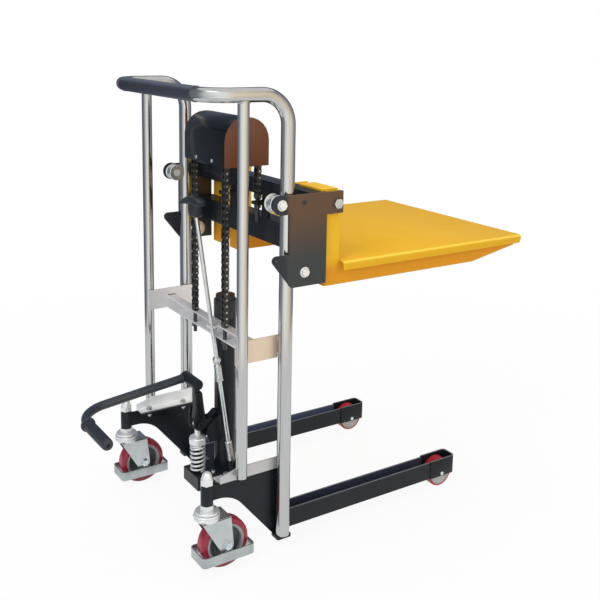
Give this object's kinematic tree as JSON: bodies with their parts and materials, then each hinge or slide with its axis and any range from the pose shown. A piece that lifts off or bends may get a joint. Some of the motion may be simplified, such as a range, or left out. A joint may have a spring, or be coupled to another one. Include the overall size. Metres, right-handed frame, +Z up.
{
  "type": "manual hydraulic mast stacker",
  "caption": "Hand-pushed lifting stacker with a tube mast, chain-lifted carriage carrying forks and a flat platform, foot pump, release lever, swivel casters and load wheels on low legs.",
  "frame": {"origin": "on the floor under the middle of the overall length and width", "axes": "+Y forward along the forks, +X to the operator's right, +Z up"},
  "size_m": [0.606, 1.168, 1.1406],
  "materials": {
    "chrome": "polished chromed tube",
    "black_paint": "black powder coat",
    "yellow_paint": "yellow-orange powder coat",
    "zinc": "bright zinc plating",
    "dark_steel": "oiled chain steel",
    "ground_steel": "hard chromed rod",
    "red_tread": "red cast polyurethane",
    "grey_core": "grey painted casting",
    "black_rubber": "soft black grip"
  },
  "bodies": {
    "frame": {"mast_loop": "chrome", "handle_grip": "black_rubber", "rear_tubes": "chrome", "mid_braces": "chrome", "mid_channel": "chrome", "lower_angles": "chrome", "base_side_l": "black_paint", "base_side_r": "black_paint", "leg_l": "black_paint", "leg_r": "black_paint", "leg_tips": "black_paint", "base_cross_beam": "black_paint", "tube_feet": "black_paint", "load_axles": "zinc", "caster_collars": "black_paint", "caster_stems": "zinc", "pump_block": "black_paint", "lift_cylinder": "black_paint", "cylinder_gland": "black_paint", "yoke_bracket": "black_paint", "chain_rear_runs": "dark_steel", "chain_bolts_rear": "dark_steel", "pump_spring": "zinc"},
    "pedal": {"pump_yoke": "black_paint", "pedal_bar": "black_paint", "pedal_grip": "black_rubber"},
    "yoke_roller": {"yoke_roller": "zinc"},
    "plunger": {"pump_plunger": "zinc"},
    "valve": {"valve_stem": "zinc"},
    "release": {"release_rod": "zinc", "release_lever": "black_paint"},
    "ram": {"piston_rod": "ground_steel", "crosshead": "black_paint", "pulley_axle": "ground_steel", "chain_cover": "black_paint", "chain_wraps": "dark_steel"},
    "pulleys": {"chain_pulleys": "dark_steel"},
    "carriage": {"carriage_plate_l": "black_paint", "carriage_plate_r": "black_paint", "carriage_bolts": "zinc", "crossbars": "black_paint", "chain_brackets": "black_paint", "chain_bolts_front": "dark_steel", "chain_front_runs": "dark_steel", "fork_bar": "zinc", "fork_l": "yellow_paint", "fork_r": "yellow_paint", "platform_deck": "yellow_paint"},
    "upper_rollers": {"upper_rollers": "zinc"},
    "lower_rollers": {"lower_rollers": "zinc"},
    "caster_swivel_l": {"caster_fork_l": "zinc", "caster_guard_l": "zinc"},
    "caster_wheel_l": {"caster_core_l": "grey_core", "caster_tread_l": "red_tread"},
    "load_wheel_l": {"load_wheel_l": "red_tread"},
    "caster_swivel_r": {"caster_fork_r": "zinc", "caster_guard_r": "zinc"},
    "caster_wheel_r": {"caster_core_r": "grey_core", "caster_tread_r": "red_tread"},
    "load_wheel_r": {"load_wheel_r": "red_tread"}
  },
  "joints": [
    {"name": "ram_lift", "type": "slide", "parent": "frame", "child": "ram", "axis": [0, 0, 1], "range_m": [-0.307, 0.069], "deforming": ["chain_rear_runs"]},
    {"name": "carriage_lift", "type": "slide", "parent": "ram", "child": "carriage", "axis": [0, 0, 1], "range_m": [-0.307, 0.069], "deforming": ["chain_front_runs"]},
    {"name": "pulley_spin", "type": "hinge", "parent": "ram", "child": "pulleys", "pos_m": [0, -0.175, 0.999], "axis": [1, 0, 0], "continuous": true},
    {"name": "upper_roller_spin", "type": "hinge", "parent": "carriage", "child": "upper_rollers", "pos_m": [0, -0.19, 0.873], "axis": [1, 0, 0], "continuous": true},
    {"name": "lower_roller_spin", "type": "hinge", "parent": "carriage", "child": "lower_rollers", "pos_m": [0, -0.126, 0.71], "axis": [1, 0, 0], "continuous": true},
    {"name": "pedal_press", "type": "hinge", "parent": "frame", "child": "pedal", "pos_m": [0, -0.216, 0.252], "axis": [1, 0, 0], "range_deg": [0, 30], "stiffness_Nm_per_rad": 15, "springref_deg": -34.38},
    {"name": "yoke_roller_spin", "type": "hinge", "parent": "pedal", "child": "yoke_roller", "pos_m": [0, -0.256, 0.252], "axis": [1, 0, 0], "continuous": true},
    {"name": "plunger_stroke", "type": "slide", "parent": "frame", "child": "plunger", "axis": [0, 0, 1], "range_m": [-0.021, 0], "deforming": ["pump_spring"]},
    {"name": "release_turn", "type": "hinge", "parent": "frame", "child": "release", "pos_m": [0.05, -0.186, 0.16], "axis": [0, -0.1468, 0.9892], "range_deg": [0, 70], "stiffness_Nm_per_rad": 0.5, "springref_deg": -11.46},
    {"name": "valve_turn", "type": "hinge", "parent": "frame", "child": "valve", "pos_m": [0.05, -0.186, 0.16], "axis": [0, 0, 1], "range_deg": [0, 70]},
    {"name": "caster_swivel_l", "type": "hinge", "parent": "frame", "child": "caster_swivel_l", "pos_m": [-0.243, -0.355, 0.14], "axis": [0, 0, 1], "continuous": true},
    {"name": "caster_roll_l", "type": "hinge", "parent": "caster_swivel_l", "child": "caster_wheel_l", "pos_m": [-0.243, -0.313, 0.0625], "axis": [1, 0, 0], "continuous": true},
    {"name": "load_roll_l", "type": "hinge", "parent": "frame", "child": "load_wheel_l", "pos_m": [-0.2135, 0.392, 0.04], "axis": [1, 0, 0], "continuous": true},
    {"name": "caster_swivel_r", "type": "hinge", "parent": "frame", "child": "caster_swivel_r", "pos_m": [0.243, -0.355, 0.14], "axis": [0, 0, 1], "continuous": true},
    {"name": "caster_roll_r", "type": "hinge", "parent": "caster_swivel_r", "child": "caster_wheel_r", "pos_m": [0.243, -0.313, 0.0625], "axis": [1, 0, 0], "continuous": true},
    {"name": "load_roll_r", "type": "hinge", "parent": "frame", "child": "load_wheel_r", "pos_m": [0.2135, 0.392, 0.04], "axis": [1, 0, 0], "continuous": true}
  ],
  "couplings": [
    {"joint": "carriage_lift", "follows": "ram_lift", "ratio": 1},
    {"joint": "pulley_spin", "follows": "ram_lift", "rad_per_m": 21.877},
    {"joint": "upper_roller_spin", "follows": "ram_lift", "rad_per_m": -132},
    {"joint": "lower_roller_spin", "follows": "ram_lift", "rad_per_m": 132},
    {"joint": "plunger_stroke", "follows": "pedal_press", "m_per_rad": -0.04},
    {"joint": "valve_turn", "follows": "release_turn", "ratio": 1}
  ]
}
